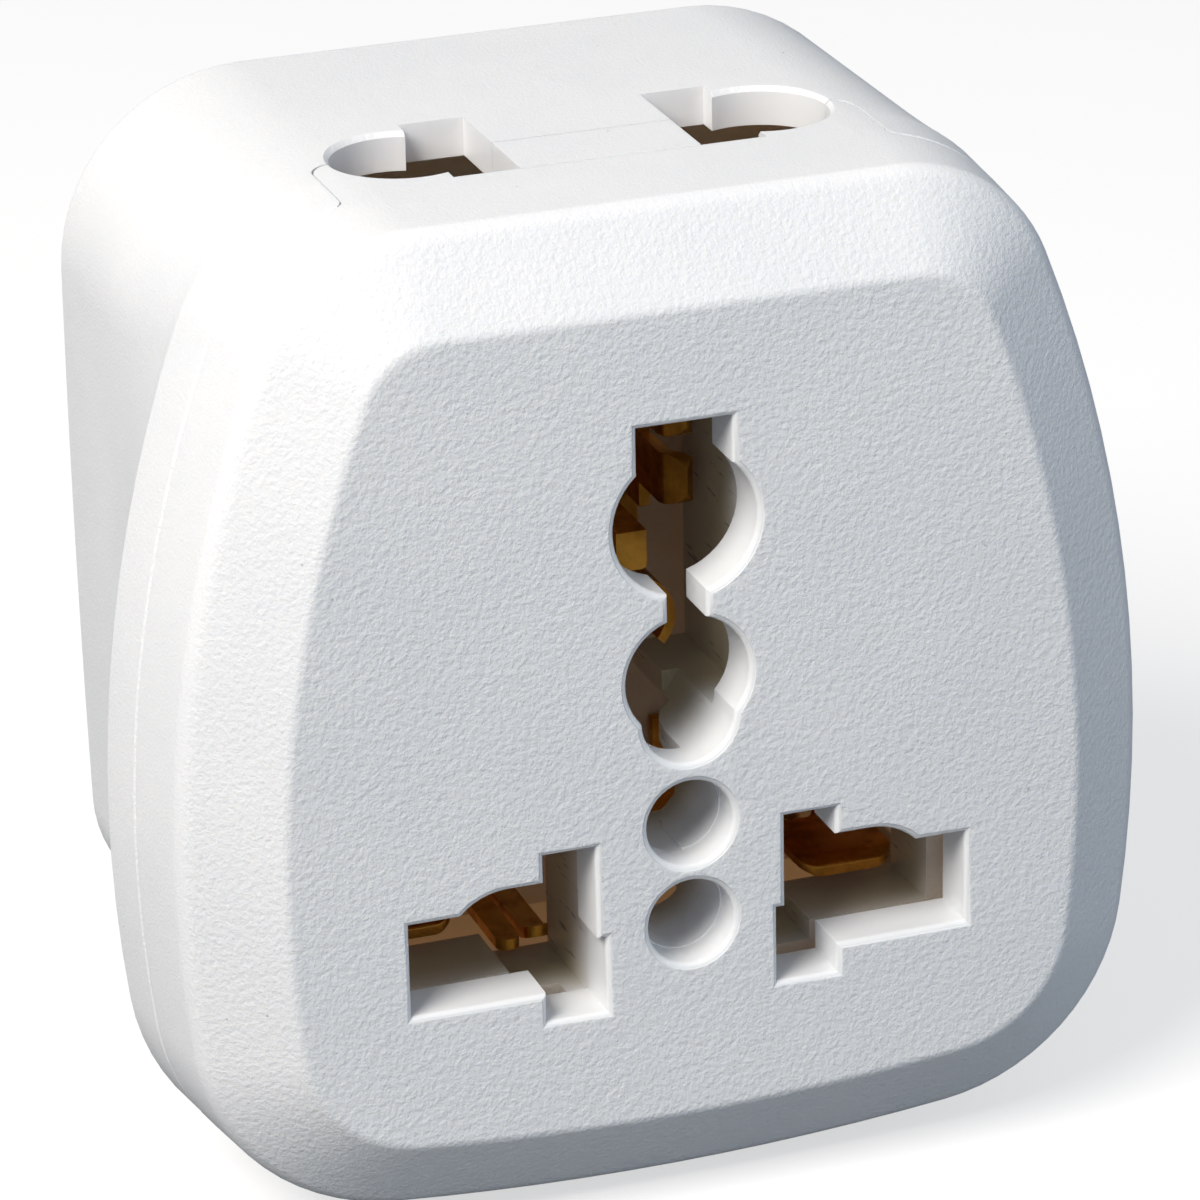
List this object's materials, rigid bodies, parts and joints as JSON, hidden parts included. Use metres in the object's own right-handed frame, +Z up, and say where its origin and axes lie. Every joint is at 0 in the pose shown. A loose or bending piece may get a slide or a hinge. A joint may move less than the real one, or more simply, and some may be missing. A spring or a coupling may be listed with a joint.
{
  "type": "travel adapter",
  "caption": "Universal travel adapter: a socket face for many plug shapes, a two-pole socket on top, and a rectangular-pin plug with a slide-out fuse drawer on the back.",
  "frame": {"origin": "on the plug face, half way between the centres of the live and neutral pins", "axes": "+X to the right as seen from the socket face, +Y from the socket face to the plug, along the pins, +Z up, towards the top socket"},
  "size_m": [0.0526, 0.0552, 0.0528],
  "materials": {
    "shell": "fine spark texture, cool white",
    "inner_nylon": "plain moulded",
    "brass": "stamped sheet and drawn bar, lightly tarnished",
    "spring_bronze": "rolled spring strip",
    "plated_steel": "bright zinc and nickel plate",
    "sleeve_black": "smooth moulded sleeve",
    "ceramic": "glazed ceramic tube"
  },
  "bodies": {
    "housing": {"front_cover": "shell", "rear_housing": "shell", "housing_screws": "plated_steel", "insulating_plate": "inner_nylon", "live_contact": "brass", "neutral_contact": "brass", "earth_contact": "brass", "live_top_contact": "brass", "neutral_top_contact": "brass", "contact_rivets": "plated_steel", "live_pin": "brass", "neutral_pin": "brass", "earth_pin": "brass", "live_pin_sleeve": "sleeve_black", "neutral_pin_sleeve": "sleeve_black", "pin_retainer": "inner_nylon", "fuse_clip_supply": "brass", "fuse_clip_load": "brass", "load_link": "brass", "neutral_link": "brass", "earth_link": "brass"},
    "fuse_drawer": {"fuse_carrier": "shell", "fuse_tube": "ceramic", "fuse_end_caps": "plated_steel"},
    "live_leaf": {"live_spring_leaf": "spring_bronze"},
    "neutral_leaf": {"neutral_spring_leaf": "spring_bronze"},
    "earth_leaf": {"earth_spring_leaf": "spring_bronze"},
    "live_upper_leaf": {"live_top_leaf": "spring_bronze"},
    "neutral_upper_leaf": {"neutral_top_leaf": "spring_bronze"}
  },
  "joints": [
    {"name": "fuse_drawer_slide", "type": "slide", "parent": "housing", "child": "fuse_drawer", "axis": [0, 1, 0], "range_m": [0, 0.008], "stiffness_N_per_m": 30},
    {"name": "live_leaf_flex", "type": "hinge", "parent": "housing", "child": "live_leaf", "pos_m": [0.0111, -0.0173, -0.00275], "axis": [1, 0, 0], "range_deg": [0, 6], "stiffness_Nm_per_rad": 0.0005},
    {"name": "neutral_leaf_flex", "type": "hinge", "parent": "housing", "child": "neutral_leaf", "pos_m": [-0.0111, -0.0173, -0.00275], "axis": [1, 0, 0], "range_deg": [0, 6], "stiffness_Nm_per_rad": 0.0005},
    {"name": "earth_leaf_flex", "type": "hinge", "parent": "housing", "child": "earth_leaf", "pos_m": [-0.0031, -0.0177, 0.0222], "axis": [0, 0, -1], "range_deg": [0, 6], "stiffness_Nm_per_rad": 0.0005},
    {"name": "live_top_leaf_flex", "type": "hinge", "parent": "housing", "child": "live_upper_leaf", "pos_m": [0.00758, -0.0182, 0.0172], "axis": [0, -1, 0], "range_deg": [0, 5], "stiffness_Nm_per_rad": 0.0005},
    {"name": "neutral_top_leaf_flex", "type": "hinge", "parent": "housing", "child": "neutral_upper_leaf", "pos_m": [-0.00758, -0.0182, 0.0172], "axis": [0, 1, 0], "range_deg": [0, 5], "stiffness_Nm_per_rad": 0.0005}
  ]
}
